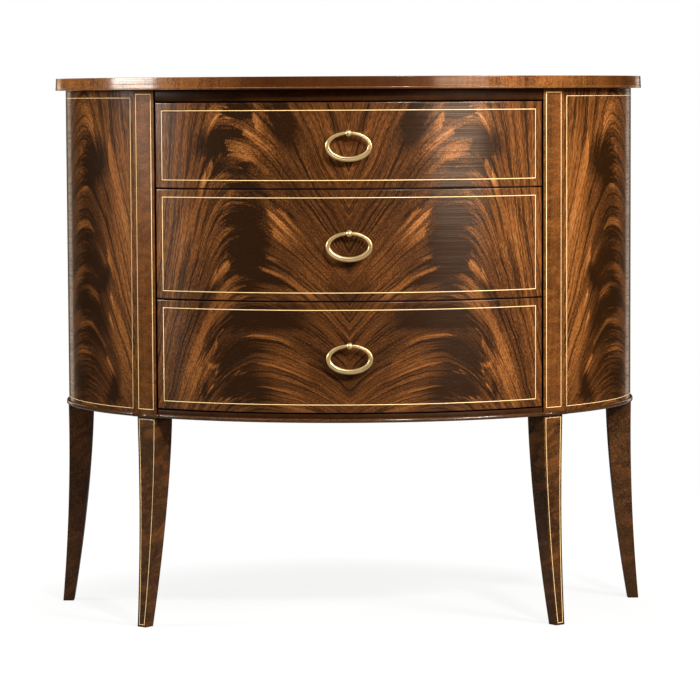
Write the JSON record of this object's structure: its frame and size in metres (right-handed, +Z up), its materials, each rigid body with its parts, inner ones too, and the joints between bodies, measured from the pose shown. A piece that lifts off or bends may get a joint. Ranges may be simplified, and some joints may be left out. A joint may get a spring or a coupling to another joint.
{
  "type": "demilune cabinet",
  "caption": "Half-oval cabinet with bowed drawers between stiles, an overhanging top, inlaid lines, oval ring pulls and tapered legs that sweep outwards.",
  "frame": {"origin": "on the floor, under the middle of the top's bounding box", "axes": "+Z up; the drawers open towards -Y and the flat back faces +Y; +X to the viewer's right"},
  "size_m": [1.019, 0.431, 0.914],
  "materials": {
    "flame_veneer": "crotch mahogany veneer under a gloss lacquer",
    "plain_veneer": "mottled mahogany under a gloss lacquer",
    "line_inlay": "pale boxwood line under the same lacquer",
    "drawer_lining": "planed and thinly sealed",
    "inside_board": "planed, unfinished",
    "pull_brass": "satin, pale brass",
    "nut_steel": "zinc-plated"
  },
  "bodies": {
    "carcass": {"top": "plain_veneer", "top_line": "line_inlay", "top_rail": "plain_veneer", "bottom_rail": "plain_veneer", "lower_divider": "inside_board", "upper_divider": "inside_board", "bottom_board": "inside_board", "back_panel": "inside_board", "front_bead": "plain_veneer", "left_partition": "inside_board", "right_partition": "inside_board", "left_side_panel": "flame_veneer", "right_side_panel": "flame_veneer", "left_side_line": "line_inlay", "right_side_line": "line_inlay", "left_stile": "plain_veneer", "right_stile": "plain_veneer", "left_stile_line": "line_inlay", "right_stile_line": "line_inlay", "left_back_post": "inside_board", "right_back_post": "inside_board", "left_side_bead": "plain_veneer", "right_side_bead": "plain_veneer", "left_stile_bead": "plain_veneer", "right_stile_bead": "plain_veneer", "left_front_leg": "plain_veneer", "right_front_leg": "plain_veneer", "left_leg_line": "line_inlay", "right_leg_line": "line_inlay", "left_back_leg": "plain_veneer", "right_back_leg": "plain_veneer"},
    "lower_drawer": {"lower_drawer_front": "flame_veneer", "lower_drawer_line": "line_inlay", "lower_drawer_left_side": "drawer_lining", "lower_drawer_right_side": "drawer_lining", "lower_drawer_bottom": "drawer_lining", "lower_drawer_back": "drawer_lining", "lower_drawer_pull_post": "pull_brass", "lower_drawer_pull_nut": "nut_steel"},
    "lower_ring": {"lower_drawer_ring": "pull_brass"},
    "middle_drawer": {"middle_drawer_front": "flame_veneer", "middle_drawer_line": "line_inlay", "middle_drawer_left_side": "drawer_lining", "middle_drawer_right_side": "drawer_lining", "middle_drawer_bottom": "drawer_lining", "middle_drawer_back": "drawer_lining", "middle_drawer_pull_post": "pull_brass", "middle_drawer_pull_nut": "nut_steel"},
    "middle_ring": {"middle_drawer_ring": "pull_brass"},
    "upper_drawer": {"upper_drawer_front": "flame_veneer", "upper_drawer_line": "line_inlay", "upper_drawer_left_side": "drawer_lining", "upper_drawer_right_side": "drawer_lining", "upper_drawer_bottom": "drawer_lining", "upper_drawer_back": "drawer_lining", "upper_drawer_pull_post": "pull_brass", "upper_drawer_pull_nut": "nut_steel"},
    "upper_ring": {"upper_drawer_ring": "pull_brass"}
  },
  "joints": [
    {"name": "lower_drawer_slide", "type": "slide", "parent": "carcass", "child": "lower_drawer", "axis": [0, -1, 0], "range_m": [0, 0.24]},
    {"name": "middle_drawer_slide", "type": "slide", "parent": "carcass", "child": "middle_drawer", "axis": [0, -1, 0], "range_m": [0, 0.24]},
    {"name": "upper_drawer_slide", "type": "slide", "parent": "carcass", "child": "upper_drawer", "axis": [0, -1, 0], "range_m": [0, 0.24]},
    {"name": "lower_ring_swing", "type": "hinge", "parent": "lower_drawer", "child": "lower_ring", "pos_m": [0, -0.2095, 0.47728], "axis": [-1, 0, 0], "range_deg": [-8, 170]},
    {"name": "middle_ring_swing", "type": "hinge", "parent": "middle_drawer", "child": "middle_ring", "pos_m": [0, -0.2095, 0.66002], "axis": [-1, 0, 0], "range_deg": [-8, 170]},
    {"name": "upper_ring_swing", "type": "hinge", "parent": "upper_drawer", "child": "upper_ring", "pos_m": [0, -0.2095, 0.8222], "axis": [-1, 0, 0], "range_deg": [-8, 170]}
  ]
}
